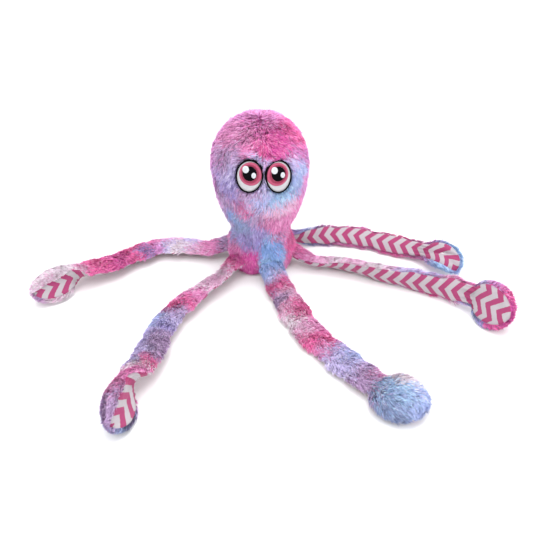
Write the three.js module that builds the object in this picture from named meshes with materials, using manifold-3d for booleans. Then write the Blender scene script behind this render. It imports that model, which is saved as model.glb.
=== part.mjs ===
// Octopus soft toy: a stuffed fur head and body, five flat floppy legs with padded ends, embroidered eyes.
// Units are millimetres and +Z is up. The origin is the middle of the flat base. The face looks towards -Y.
// Outer surfaces are those of the fur with its pile. Left and right are the viewer's, looking along +Y.
import * as THREE from 'three';
import { mergeVertices } from 'three/addons/utils/BufferGeometryUtils.js';
import Module from 'manifold-3d';

const wasm = await Module();
wasm.setup();

// Clearance between neighbouring pieces, and between the two cloths of a leg, which twist together.
const GAP = 0.3;
const CLOTH_GAP = 0.8;

// Head and body, one stuffed bag.
const HEAD_RADIUS = 59.5;
const HEAD_CENTRE_HEIGHT = 138;
const HEAD_TOP = 201.5;
const FUR_THICKNESS = 9;
const BASE_THICKNESS = 4;
const BASE_RADIUS = 26.7;
const FACE_TURN = 4.8;
const BAG_SIDES = 20;
// Half width and height of the bag, from its bottom edge over the skirt and neck to the head's widest part.
const LOWER_OUTLINE = [
  [36, 0],
  [41.5, 4],
  [44, 14],
  [42, 30],
  [37.5, 54],
  [46, 74],
  [55.5, 104],
  [HEAD_RADIUS, HEAD_CENTRE_HEIGHT],
];

// Eyes.
const EYE_HALF_WIDTH = 15.6;
const EYE_HALF_HEIGHT = 19.5;
const EYE_EGG = -0.045;
const EYE_LEAN = 5.5;
const FACE_ROLL = -2.5;
const EYE_HEIGHT = 148.8;
const EYE_DROP = 1;
const EYE_SIDE_ANGLE = 17.1;
const EYE_OUT_ANGLE = 13;
const EYE_UP_ANGLE = 9.5;
const EYE_SEAT_DEPTH = 4.5;
const OUTLINE_WIDTH = 2.4;
const EYE_POINTS = 26;
const IRIS_INWARD = 1.6;
const IRIS_UP = 3.3;
const IRIS_HALF_WIDTH = 12.8;
const IRIS_HALF_HEIGHT = 13.2;
const PUPIL_INWARD = 0.6;
const PUPIL_UP = 3.9;
const PUPIL_HALF_WIDTH = 7.9;
const PUPIL_HALF_HEIGHT = 8.3;
// Heights over the head's surface: back of the eye, top of the white, back and top of the iris and the pupil,
// back and top of the highlights.
const EYE_LEVELS = [-4.2, -2.5, -2.2, -1.2, -0.9, -0.2];

// Legs. Distances along a leg start at its root joint.
const ROOT_RADIUS = 37;
const ROOT_HEIGHT = 17;
const KNOB_RADIUS = 10.5;
const SOCKET_RADIUS = 17.5;
const LEG_START = 11.6;
const HINGE_CLEARANCE = 4;
const TIP_HALF_WIDTH = 0.8;
const FUR_HEIGHT = 9;
const COTTON_HEIGHT = 4.5;
const PADDLE_LENGTH = 60;
const PADDLE_COTTON_HEIGHT = 7;
const PADDLE_FUR_WALL = 6;
const PADDLE_COTTON_WALL = 2.5;
const PADDLE_ROUNDING = 27.6;
const END_ROUNDING = 9;
const FULL_WIDTH_FROM = 80;
const NECK_TAPER = 22;
const STRIP_RING_SPACING = 17;
const PADDLE_RING_SPACING = 10;
const FILLING_START = 17;
const FILLING_END = 8;
const FILLING_EDGE = 8;
const FILLING_CLEARANCE = 1.5;
const BEND_SHARE = 0.54;

// Each leg: where its root sits round the base, half its width at the root, along the leg, at the neck and at
// the paddle, how high the paddle's fur stands, the points that the leg's middle line passes through, and its
// turn about that line at some distances from the root.
// At a turn of 0 the fur faces up and the cotton faces down.
const LEGS = [
  {
    name: 'leg_a',
    rootAzimuth: 165,
    rootHalfWidth: 13,
    halfWidth: 18.5,
    neckHalfWidth: 15,
    paddleHalfWidth: 18,
    paddleFurHeight: 13,
    route: [[-66, 9, 9], [-98, 16, 8], [-130, 17, 7], [-159, 0, 8], [-185, -25, 11.5], [-212, -44, 16],
      [-230, -60, 19.5], [-246, -74, 20], [-267, -91, 19]],
    turns: [[0, 8], [60, 14], [200, 14], [230, 108], [300, 114]],
  },
  {
    name: 'leg_b',
    rootAzimuth: 226,
    rootHalfWidth: 14,
    halfWidth: 17.5,
    neckHalfWidth: 15,
    paddleHalfWidth: 20,
    paddleFurHeight: 15,
    route: [[-45, -54, 12], [-66, -78, 11], [-84, -98, 9.5], [-100, -120, 8], [-112, -148, 7.5],
      [-118, -177, 9], [-123, -205, 14], [-131, -235, 19.5], [-137, -262, 21.5], [-143, -298, 21]],
    turns: [[0, 20], [25, 45], [60, 38], [95, 20], [226, 12], [258, 108], [300, 114]],
  },
  {
    name: 'leg_c',
    rootAzimuth: 286,
    rootHalfWidth: 14,
    halfWidth: 16,
    neckHalfWidth: 11,
    paddleHalfWidth: 25,
    paddleFurHeight: 24,
    route: [[17, -54, 9], [23, -76, 6], [32, -101, 5], [43, -133, 5], [57, -162, 5], [76, -188, 5],
      [96, -216, 6], [117, -242, 8], [137, -262, 10], [157, -275, 10]],
    turns: [[0, 0], [300, 0]],
  },
  {
    name: 'leg_d',
    rootAzimuth: 350,
    rootHalfWidth: 10,
    halfWidth: 15,
    neckHalfWidth: 13,
    paddleHalfWidth: 26,
    paddleFurHeight: 14,
    route: [[62, -23, 11], [91, -30, 11], [120, -43, 13.5], [147, -58, 14.5], [175, -69, 15.5],
      [201, -82, 17], [228, -98, 20], [253, -121, 24], [274, -155, 24]],
    turns: [[0, -15], [40, -38], [90, -55], [140, -74], [190, -92], [225, -112], [300, -118]],
  },
  {
    name: 'leg_e',
    rootAzimuth: 48,
    rootHalfWidth: 10,
    halfWidth: 13,
    neckHalfWidth: 11,
    paddleHalfWidth: 17,
    paddleFurHeight: 10,
    route: [[46, 29, 13], [65, 32, 13], [97, 35, 13], [128, 30, 13], [158, 17, 13], [187, 3, 14],
      [207, -8, 16], [220, -19, 19], [230, -31, 20], [237, -42, 18], [240, -51, 14]],
    turns: [[0, -30], [20, -70], [45, -115], [75, -140], [210, -140], [240, -150], [300, -152]],
  },
];

// Materials.
const furColours = ['#c886bf', '#d97ab4', '#b98fc6', '#a99bd0'];
const fur = (colour) => new THREE.MeshStandardMaterial({ color: colour, roughness: 0.95, metalness: 0 });
const cotton = () => new THREE.MeshStandardMaterial({ color: '#cf7ea6', roughness: 0.9, metalness: 0 });
const fibre = () => new THREE.MeshStandardMaterial({ color: '#f2f2f0', roughness: 1, metalness: 0 });
const thread = (colour) => new THREE.MeshStandardMaterial({ color: colour, roughness: 0.55, metalness: 0 });

const radians = THREE.MathUtils.degToRad;

// Leaves only positions, with shared corners merged and every face pointing out.
function tidySolid(geometry) {
  const bare = new THREE.BufferGeometry();
  bare.setAttribute('position', geometry.getAttribute('position').clone());
  if (geometry.index) {
    bare.setIndex(geometry.index.clone());
  }
  const merged = mergeVertices(bare, 1e-4);
  const position = merged.getAttribute('position');
  const faces = [];
  let volume = 0;
  const corners = [new THREE.Vector3(), new THREE.Vector3(), new THREE.Vector3()];
  for (let i = 0; i < merged.index.count; i += 3) {
    const face = [0, 1, 2].map((k) => merged.index.getX(i + k));
    if (face[0] === face[1] || face[1] === face[2] || face[2] === face[0]) {
      continue;
    }
    face.forEach((vertex, k) => corners[k].fromBufferAttribute(position, vertex));
    volume += corners[0].dot(corners[1].clone().cross(corners[2]));
    faces.push(face);
  }
  merged.setIndex(faces.flatMap((face) => (volume < 0 ? [face[0], face[2], face[1]] : face)));
  merged.computeVertexNormals();
  return merged;
}

function toSolid(geometry) {
  const tidy = tidySolid(geometry);
  const vertProperties = new Float32Array(tidy.getAttribute('position').array);
  const triVerts = new Uint32Array(tidy.index.array);
  return new wasm.Manifold(new wasm.Mesh({ numProp: 3, vertProperties, triVerts }));
}

function toGeometry(solid) {
  const mesh = solid.getMesh();
  const geometry = new THREE.BufferGeometry();
  const positions = [];
  for (let i = 0; i < mesh.vertProperties.length; i += mesh.numProp) {
    positions.push(...mesh.vertProperties.slice(i, i + 3));
  }
  geometry.setAttribute('position', new THREE.Float32BufferAttribute(positions, 3));
  geometry.setIndex(Array.from(mesh.triVerts));
  return tidySolid(geometry);
}

// A solid of revolution about Z from a list of [radius, height].
function turned(profile, sides = BAG_SIDES) {
  const points = profile.map(([radius, height]) => new THREE.Vector2(radius, height));
  const lathe = new THREE.LatheGeometry(points, sides);
  lathe.rotateX(Math.PI / 2);
  return lathe;
}

// The bag's outline, drawn in by inset, from the given bottom height to the top of the head.
function bagProfile(inset, bottom) {
  const points = LOWER_OUTLINE.map(([radius, height]) => new THREE.Vector2(radius, height));
  const spline = new THREE.SplineCurve(points);
  const lower = spline.getPoints(12);
  const above = lower.filter((point) => point.y > bottom + 0.5);
  const below = lower[lower.length - above.length - 1] ?? lower[0];
  const span = Math.max(above[0].y - below.y, 1);
  const share = THREE.MathUtils.clamp((bottom - below.y) / span, 0, 1);
  const outline = [[0, bottom], [THREE.MathUtils.lerp(below.x, above[0].x, share) - inset, bottom]];
  above.forEach((point) => outline.push([point.x - inset, point.y]));
  const steps = 6;
  for (let i = 1; i < steps; i += 1) {
    const angle = (i / steps) * (Math.PI / 2);
    const radius = (HEAD_RADIUS - inset) * Math.cos(angle);
    const height = HEAD_CENTRE_HEIGHT + (HEAD_TOP - HEAD_CENTRE_HEIGHT - inset) * Math.sin(angle);
    outline.push([radius, height]);
  }
  outline.push([0, HEAD_TOP - inset]);
  return outline;
}

// Where a leg's root joint sits.
function rootPoint(leg) {
  const angle = radians(leg.rootAzimuth);
  return new THREE.Vector3(ROOT_RADIUS * Math.cos(angle), ROOT_RADIUS * Math.sin(angle), ROOT_HEIGHT);
}

// The round hollows in the bag's edge that the leg roots swing in.
function socketSolid() {
  const sockets = LEGS.map((leg) => {
    const ball = new THREE.SphereGeometry(SOCKET_RADIUS, 12, 8);
    const centre = rootPoint(leg);
    ball.translate(centre.x, centre.y, centre.z);
    return toSolid(ball);
  });
  return sockets.reduce((joined, socket) => joined.add(socket));
}

// An eye's egg outline, its broad end up and its foot leaning out, drawn in by inset.
function eyeShape(side, inset) {
  const lean = radians(side * EYE_LEAN + FACE_ROLL);
  const shape = new THREE.Shape();
  for (let i = 0; i < EYE_POINTS; i += 1) {
    const angle = (i / EYE_POINTS) * 2 * Math.PI;
    const x = (EYE_HALF_WIDTH - inset) * Math.cos(angle) * (1 - EYE_EGG * Math.sin(angle));
    const y = (EYE_HALF_HEIGHT - inset) * Math.sin(angle);
    const turnedX = x * Math.cos(lean) - y * Math.sin(lean);
    const turnedY = x * Math.sin(lean) + y * Math.cos(lean);
    if (i === 0) {
      shape.moveTo(turnedX, turnedY);
    } else {
      shape.lineTo(turnedX, turnedY);
    }
  }
  return shape;
}

function ovalShape(x, y, halfWidth, halfHeight) {
  const shape = new THREE.Shape();
  shape.absellipse(x, y, halfWidth, halfHeight, 0, 2 * Math.PI, false, 0);
  return shape;
}

function plate(shape, from, to, curveSegments = 12) {
  const depth = to - from;
  const geometry = new THREE.ExtrudeGeometry(shape, { depth, bevelEnabled: false, curveSegments, steps: 1 });
  geometry.translate(0, 0, from);
  return geometry;
}

// The eye's own frame: X to the viewer's right, Y up the face, Z out of the face. The right eye sits a little
// lower, and both look more to the front than the head's curve does there.
function eyeMatrix(side) {
  const around = radians(FACE_TURN + side * EYE_SIDE_ANGLE);
  const across = radians(FACE_TURN + side * EYE_OUT_ANGLE);
  const height = EYE_HEIGHT - side * EYE_DROP;
  const rise = (height - HEAD_CENTRE_HEIGHT) / (HEAD_TOP - HEAD_CENTRE_HEIGHT);
  const reach = HEAD_RADIUS * Math.sqrt(1 - rise * rise);
  const up = radians(EYE_UP_ANGLE);
  const level = Math.cos(up);
  const out = new THREE.Vector3(Math.sin(across) * level, -Math.cos(across) * level, Math.sin(up));
  const right = new THREE.Vector3(Math.cos(across), Math.sin(across), 0);
  const upward = out.clone().cross(right);
  const centre = new THREE.Vector3(Math.sin(around) * reach, -Math.cos(around) * reach, height);
  return new THREE.Matrix4().makeBasis(right, upward, out).setPosition(centre);
}

// The pieces are stacked plates: the iris and the pupil lie on the white, and the highlights on the pupil.
// The outline cuts off the iris at the top and towards the nose.
function eyePieces(side, word) {
  const gaze = -side * PUPIL_INWARD;
  const irisOval = ovalShape(-side * IRIS_INWARD, IRIS_UP, IRIS_HALF_WIDTH, IRIS_HALF_HEIGHT);
  irisOval.holes.push(ovalShape(gaze, PUPIL_UP, PUPIL_HALF_WIDTH + GAP, PUPIL_HALF_HEIGHT + GAP));
  const pupil = ovalShape(gaze, PUPIL_UP, PUPIL_HALF_WIDTH, PUPIL_HALF_HEIGHT);
  const border = eyeShape(side, 0);
  border.holes.push(eyeShape(side, OUTLINE_WIDTH));
  const white = eyeShape(side, OUTLINE_WIDTH + GAP);
  const largeHighlight = ovalShape(gaze - 4.4, PUPIL_UP + 4.7, 3.7, 4);
  const smallHighlight = ovalShape(gaze + 4.7, PUPIL_UP - 1.7, 2.6, 3.3);
  const [back, groundTop, irisBack, irisTop, highlightBack, highlightTop] = EYE_LEVELS;
  const inside = toSolid(plate(white, back, highlightTop));
  const iris = toGeometry(toSolid(plate(irisOval, irisBack, irisTop)).intersect(inside));
  const pieces = [
    ['outline', plate(border, back, irisTop), '#17131c'],
    ['white', plate(white, back, groundTop), '#e9e9ea'],
    ['iris', iris, '#c9476f'],
    ['pupil', plate(pupil, irisBack, irisTop), '#1b171f'],
    ['highlight_large', plate(largeHighlight, highlightBack, highlightTop, 6), '#f4f4f6'],
    ['highlight_small', plate(smallHighlight, highlightBack, highlightTop, 6), '#f4f4f6'],
  ];
  const placed = new THREE.Group();
  placed.applyMatrix4(eyeMatrix(side));
  pieces.forEach(([name, geometry, colour]) => {
    const mesh = new THREE.Mesh(tidySolid(geometry), thread(colour));
    mesh.name = `eye_${word}_${name}`;
    placed.add(mesh);
  });
  return placed;
}

// The four fur gores, the base panel and the filling.
function bagPieces() {
  const sockets = socketSolid();
  const outer = toSolid(turned(bagProfile(0, 0)));
  const hollow = toSolid(turned(bagProfile(FUR_THICKNESS, -6)));
  const eyeSeats = [-1, 1].map((side) => {
    const seat = plate(eyeShape(side, -GAP), -EYE_SEAT_DEPTH, 10);
    seat.applyMatrix4(eyeMatrix(side));
    return toSolid(seat);
  });
  const shell = outer.subtract(hollow).subtract(sockets).subtract(eyeSeats[0]).subtract(eyeSeats[1]);
  const gores = [
    ['fur_front_left', 180],
    ['fur_front_right', 270],
    ['fur_back_right', 0],
    ['fur_back_left', 90],
  ];
  const size = 240;
  const meshes = gores.map(([name, azimuth], index) => {
    const quarter = new THREE.BoxGeometry(size, size, size);
    quarter.translate(size / 2 + GAP / 2, size / 2 + GAP / 2, size / 2 - 10);
    quarter.rotateZ(radians(azimuth + FACE_TURN));
    const mesh = new THREE.Mesh(toGeometry(shell.intersect(toSolid(quarter))), fur(furColours[index]));
    mesh.name = name;
    return mesh;
  });
  const base = turned([[0, 0], [BASE_RADIUS, 0], [BASE_RADIUS, BASE_THICKNESS], [0, BASE_THICKNESS]]);
  const basePanel = new THREE.Mesh(toGeometry(toSolid(base).subtract(sockets)), fur('#a878b8'));
  basePanel.name = 'base_panel';
  const filling = toSolid(turned(bagProfile(FUR_THICKNESS + GAP, BASE_THICKNESS + GAP))).subtract(sockets);
  const fillingMesh = new THREE.Mesh(toGeometry(filling), fibre());
  fillingMesh.name = 'body_filling';
  return [...meshes, basePanel, fillingMesh];
}

// A leg's middle line, its length, and its frame at a distance: place, way, side and face.
function legLine(leg) {
  const points = [rootPoint(leg), ...leg.route.map((point) => new THREE.Vector3(...point))];
  const curve = new THREE.CatmullRomCurve3(points, false, 'centripetal');
  curve.arcLengthDivisions = 400;
  const length = curve.getLength();
  const turnAt = (distance) => {
    const next = leg.turns.findIndex(([reach]) => reach >= distance);
    if (next <= 0) {
      return radians(leg.turns[Math.max(next, 0)][1]);
    }
    const [from, before] = leg.turns[next - 1];
    const [to, after] = leg.turns[next];
    const share = THREE.MathUtils.smoothstep(distance, from, to);
    return radians(THREE.MathUtils.lerp(before, after, share));
  };
  const frameAt = (distance) => {
    const share = THREE.MathUtils.clamp(distance / length, 0, 1);
    const way = curve.getTangentAt(share);
    const level = new THREE.Vector3(0, 0, 1).cross(way).normalize();
    const rise = way.clone().cross(level);
    const turn = turnAt(distance);
    const side = level.clone().multiplyScalar(Math.cos(turn)).addScaledVector(rise, Math.sin(turn));
    const face = level.clone().multiplyScalar(-Math.sin(turn)).addScaledVector(rise, Math.cos(turn));
    return { place: curve.getPointAt(share), way, side, face };
  };
  const neck = length - PADDLE_LENGTH;
  return { leg, length, neck, bend: neck * BEND_SHARE, frameAt };
}

// How far a round end has opened at a distance from the end.
function roundEnd(distance, rounding) {
  const inside = Math.max(rounding - distance - 0.2, 0) / rounding;
  return Math.sqrt(Math.max(1 - inside * inside, 0.03));
}

// Half a leg's width: narrow at the root, full along the leg, drawn in at the neck, then the round paddle.
function halfWidthAt(line, distance) {
  const { leg, neck, length } = line;
  const widened = THREE.MathUtils.smoothstep(distance, LEG_START, FULL_WIDTH_FROM);
  const strip = THREE.MathUtils.lerp(leg.rootHalfWidth, leg.halfWidth, widened);
  const drawnIn = THREE.MathUtils.smoothstep(distance, neck - NECK_TAPER, neck);
  const alongLeg = THREE.MathUtils.lerp(strip, leg.neckHalfWidth, drawnIn);
  const fromMiddle = (distance - (length - PADDLE_ROUNDING)) / PADDLE_ROUNDING;
  const disc = leg.paddleHalfWidth * Math.sqrt(Math.max(1 - fromMiddle * fromMiddle, 0));
  const least = fromMiddle < 0 ? leg.neckHalfWidth : TIP_HALF_WIDTH;
  return distance > neck ? Math.max(disc, least) : alongLeg;
}

// Distances of the rings of a piece: close together at its round ends, even between them.
function ringDistances(from, to, spacing) {
  const middle = Math.max(2, Math.round((to - from - 2 * END_ROUNDING) / spacing));
  const distances = [from, from + 3];
  for (let i = 0; i <= middle; i += 1) {
    distances.push(THREE.MathUtils.lerp(from + END_ROUNDING, to - END_ROUNDING, i / middle));
  }
  return [...distances, to - 3, to];
}

// A closed layer that follows a leg's middle line. Its section at each ring runs over the outer arc and back
// along the inner one, and both end at the same two edges.
function layer(line, { distances, halfWidth, outer, inner, lift, outerSteps, innerSteps }) {
  const rings = distances.length;
  const steps = outerSteps + innerSteps;
  const geometry = new THREE.CylinderGeometry(1, 1, 1, steps, rings - 1, false);
  const position = geometry.getAttribute('position');
  const sectionPoint = (distance, index) => {
    const overOuter = index <= outerSteps;
    const angle = Math.PI * (overOuter ? index / outerSteps : 1 - (index - outerSteps) / innerSteps);
    const reach = overOuter ? outer(distance) : inner(distance);
    return [halfWidth(distance) * Math.cos(angle), reach * Math.sin(angle) + lift];
  };
  for (let i = 0; i < position.count; i += 1) {
    const ring = Math.round((0.5 - position.getY(i)) * (rings - 1));
    const distance = distances[ring];
    const onAxis = Math.hypot(position.getX(i), position.getZ(i)) < 0.5;
    const angle = Math.atan2(position.getX(i), position.getZ(i));
    const index = ((Math.round((angle / (2 * Math.PI)) * steps) % steps) + steps) % steps;
    const middleHeight = (outer(distance) + inner(distance)) / 2 + lift;
    const [across, up] = onAxis ? [0, middleHeight] : sectionPoint(distance, index);
    const { place, side, face } = line.frameAt(distance);
    const point = place.clone().addScaledVector(side, across).addScaledVector(face, up);
    position.setXYZ(i, point.x, point.y, point.z);
  }
  return tidySolid(geometry);
}

// The fur strip and the cotton strip of one length of leg.
function stripLayers(line, from, to) {
  const open = (distance) => Math.min(
    roundEnd(distance - from, END_ROUNDING),
    roundEnd(to - distance, END_ROUNDING),
  );
  const shared = {
    distances: ringDistances(from, to, STRIP_RING_SPACING),
    halfWidth: (distance) => halfWidthAt(line, distance) * open(distance),
    inner: () => 0,
    innerSteps: 3,
  };
  const furLayer = layer(line, {
    ...shared,
    outer: (distance) => FUR_HEIGHT * open(distance),
    lift: CLOTH_GAP / 2,
    outerSteps: 6,
  });
  const cottonLayer = layer(line, {
    ...shared,
    outer: (distance) => -COTTON_HEIGHT * open(distance),
    lift: -CLOTH_GAP / 2,
    outerSteps: 4,
  });
  return [furLayer, cottonLayer];
}

// The fur half, the cotton half and the filling of a padded paddle.
function paddleLayers(line) {
  const from = line.neck + HINGE_CLEARANCE;
  const to = line.length;
  const puff = (distance) => THREE.MathUtils.smoothstep(distance, line.neck, to - PADDLE_ROUNDING);
  const { lerp } = THREE.MathUtils;
  const furHeight = (distance) => lerp(FUR_HEIGHT, line.leg.paddleFurHeight, puff(distance));
  const cottonHeight = (distance) => lerp(COTTON_HEIGHT, PADDLE_COTTON_HEIGHT, puff(distance));
  const open = (distance) => Math.min(
    roundEnd(distance - from, END_ROUNDING),
    roundEnd(to - distance, PADDLE_ROUNDING),
  );
  const hollow = (distance) => open(distance) * Math.min(puff(distance) * 2, 1);
  const shared = {
    distances: ringDistances(from, to, PADDLE_RING_SPACING),
    halfWidth: (distance) => halfWidthAt(line, distance) * roundEnd(distance - from, END_ROUNDING),
    innerSteps: 4,
  };
  const furLayer = layer(line, {
    ...shared,
    outer: (distance) => furHeight(distance) * open(distance),
    inner: (distance) => (furHeight(distance) - PADDLE_FUR_WALL) * hollow(distance),
    lift: CLOTH_GAP / 2,
    outerSteps: 7,
  });
  const cottonLayer = layer(line, {
    ...shared,
    outer: (distance) => -cottonHeight(distance) * open(distance),
    inner: (distance) => -(cottonHeight(distance) - PADDLE_COTTON_WALL) * hollow(distance),
    lift: -CLOTH_GAP / 2,
    outerSteps: 5,
  });

  const fillFrom = from + FILLING_START;
  const fillTo = to - FILLING_END;
  const rounded = (distance) => Math.min(
    roundEnd(distance - fillFrom, END_ROUNDING + 3),
    roundEnd(fillTo - distance, PADDLE_ROUNDING - END_ROUNDING),
  );
  const furRoom = (distance) => furHeight(distance) - PADDLE_FUR_WALL - FILLING_CLEARANCE;
  const cottonRoom = (distance) => cottonHeight(distance) - PADDLE_COTTON_WALL - FILLING_CLEARANCE;
  const filling = layer(line, {
    distances: ringDistances(fillFrom, fillTo, PADDLE_RING_SPACING),
    halfWidth: (distance) => (halfWidthAt(line, distance) - FILLING_EDGE) * rounded(distance),
    outer: (distance) => furRoom(distance) * hollow(distance) * rounded(distance),
    inner: (distance) => -cottonRoom(distance) * hollow(distance) * rounded(distance),
    lift: 0,
    outerSteps: 4,
    innerSteps: 4,
  });
  return [furLayer, cottonLayer, filling];
}

// A group at a joint: its origin is on the hinge line and its X axis runs along it.
function jointGroup(name, parent, place, axis) {
  const group = new THREE.Group();
  group.name = name;
  const helper = Math.abs(axis.z) < 0.9 ? new THREE.Vector3(0, 0, 1) : new THREE.Vector3(0, 1, 0);
  const second = helper.cross(axis).normalize();
  const world = new THREE.Matrix4().makeBasis(axis, second, axis.clone().cross(second)).setPosition(place);
  group.applyMatrix4(parent.matrixWorld.clone().invert().multiply(world));
  parent.add(group);
  group.updateMatrixWorld(true);
  return group;
}

// Adds a mesh whose geometry is in the part's frame to a group that has a place and turn of its own.
function addMesh(group, name, geometry, material) {
  geometry.applyMatrix4(group.matrixWorld.clone().invert());
  const mesh = new THREE.Mesh(geometry, material);
  mesh.name = name;
  group.add(mesh);
}

// One leg: a root knob that swings, then the upper leg, the lower leg and the paddle, each on its own hinge.
function addLeg(parent, leg, index) {
  const line = legLine(leg);
  const root = rootPoint(leg);
  const start = line.frameAt(0).way.clone().setZ(0).normalize();
  const swing = jointGroup(`${leg.name}_swing`, parent, root, new THREE.Vector3(0, 0, 1));
  const knob = new THREE.SphereGeometry(KNOB_RADIUS, 10, 7);
  knob.translate(root.x, root.y, root.z);
  addMesh(swing, `${leg.name}_root`, tidySolid(knob), fur(furColours[(index + 1) % 4]));

  const lift = jointGroup(`${leg.name}_lift`, swing, root, new THREE.Vector3(start.y, -start.x, 0));
  const [upperFur, upperCotton] = stripLayers(line, LEG_START, line.bend - HINGE_CLEARANCE);
  addMesh(lift, `${leg.name}_upper_fur`, upperFur, fur(furColours[index % 4]));
  addMesh(lift, `${leg.name}_upper_cotton`, upperCotton, cotton());

  const middle = line.frameAt(line.bend);
  const bend = jointGroup(`${leg.name}_bend`, lift, middle.place, middle.side);
  const [lowerFur, lowerCotton] = stripLayers(line, line.bend + HINGE_CLEARANCE, line.neck - HINGE_CLEARANCE);
  addMesh(bend, `${leg.name}_lower_fur`, lowerFur, fur(furColours[(index + 2) % 4]));
  addMesh(bend, `${leg.name}_lower_cotton`, lowerCotton, cotton());

  const neck = line.frameAt(line.neck);
  const curl = jointGroup(`${leg.name}_curl`, bend, neck.place, neck.side);
  const [paddleFur, paddleCotton, paddleFilling] = paddleLayers(line);
  addMesh(curl, `${leg.name}_paddle_fur`, paddleFur, fur(furColours[(index + 3) % 4]));
  addMesh(curl, `${leg.name}_paddle_cotton`, paddleCotton, cotton());
  addMesh(curl, `${leg.name}_paddle_filling`, paddleFilling, fibre());
}

const octopus = new THREE.Group();
octopus.name = 'octopus_soft_toy';
bagPieces().forEach((mesh) => octopus.add(mesh));
octopus.add(eyePieces(-1, 'left'));
octopus.add(eyePieces(1, 'right'));
LEGS.forEach((leg, index) => addLeg(octopus, leg, index));

export default octopus;
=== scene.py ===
"""Looks of an octopus soft toy: tie-dyed fur, printed cotton, embroidered eyes. Metres, in the CAD frame."""
import math
from functools import partial

import bpy
import numpy as np
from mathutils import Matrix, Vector


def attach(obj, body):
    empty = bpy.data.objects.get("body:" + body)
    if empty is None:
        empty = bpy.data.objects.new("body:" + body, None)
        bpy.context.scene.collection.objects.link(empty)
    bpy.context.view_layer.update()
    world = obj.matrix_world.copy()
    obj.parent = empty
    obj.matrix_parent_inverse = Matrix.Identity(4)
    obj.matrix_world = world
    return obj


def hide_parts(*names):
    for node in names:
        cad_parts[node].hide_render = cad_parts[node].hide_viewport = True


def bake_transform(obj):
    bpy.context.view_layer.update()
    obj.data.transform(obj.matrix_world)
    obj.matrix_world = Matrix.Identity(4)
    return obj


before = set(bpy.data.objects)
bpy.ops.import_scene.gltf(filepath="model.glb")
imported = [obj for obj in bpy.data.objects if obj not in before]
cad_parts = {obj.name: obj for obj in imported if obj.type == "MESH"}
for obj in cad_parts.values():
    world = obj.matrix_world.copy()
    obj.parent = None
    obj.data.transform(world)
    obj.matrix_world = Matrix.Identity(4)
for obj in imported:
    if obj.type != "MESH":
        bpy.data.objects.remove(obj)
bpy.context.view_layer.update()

# ---------------------------------------------------------------- sizes, in millimetres
HEAD_RADIUS = 59.5
HEAD_CENTRE = 138.0
HEAD_TOP = 201.5
OUTLINE = [(27, 1.6), (34.5, 3.2), (40, 9), (42, 17), (41.5, 30), (37.5, 54), (46, 74), (55.5, 104),
           (59.5, 138)]
FACE_TURN = 4.8
PILE = 6.2
EYE_HALF_WIDTH = 15.6
EYE_HALF_HEIGHT = 19.5
EYE_EGG = -0.045
EYE_LEAN = 5.5
FACE_ROLL = -2.5
EYE_HEIGHT = 148.8
EYE_DROP = 1.0
EYE_SIDE_ANGLE = 17.1
EYE_OUT_ANGLE = 13.0
EYE_UP_ANGLE = 9.5
EYE_BORDER = 1.75
EYE_LEVEL = -1.3
IRIS_INWARD = 1.6
IRIS_UP = 3.3
IRIS_HALF = (12.8, 13.2)
PUPIL_INWARD = 0.6
PUPIL_UP = 3.9
PUPIL_HALF = (7.9, 8.3)
ROOT_RADIUS = 37.0
ROOT_HEIGHT = 17.0
PADDLE_LENGTH = 60.0
PADDLE_ROUNDING = 27.6
BEND_SHARE = 0.54
LEG_PILE = 2.2

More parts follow.
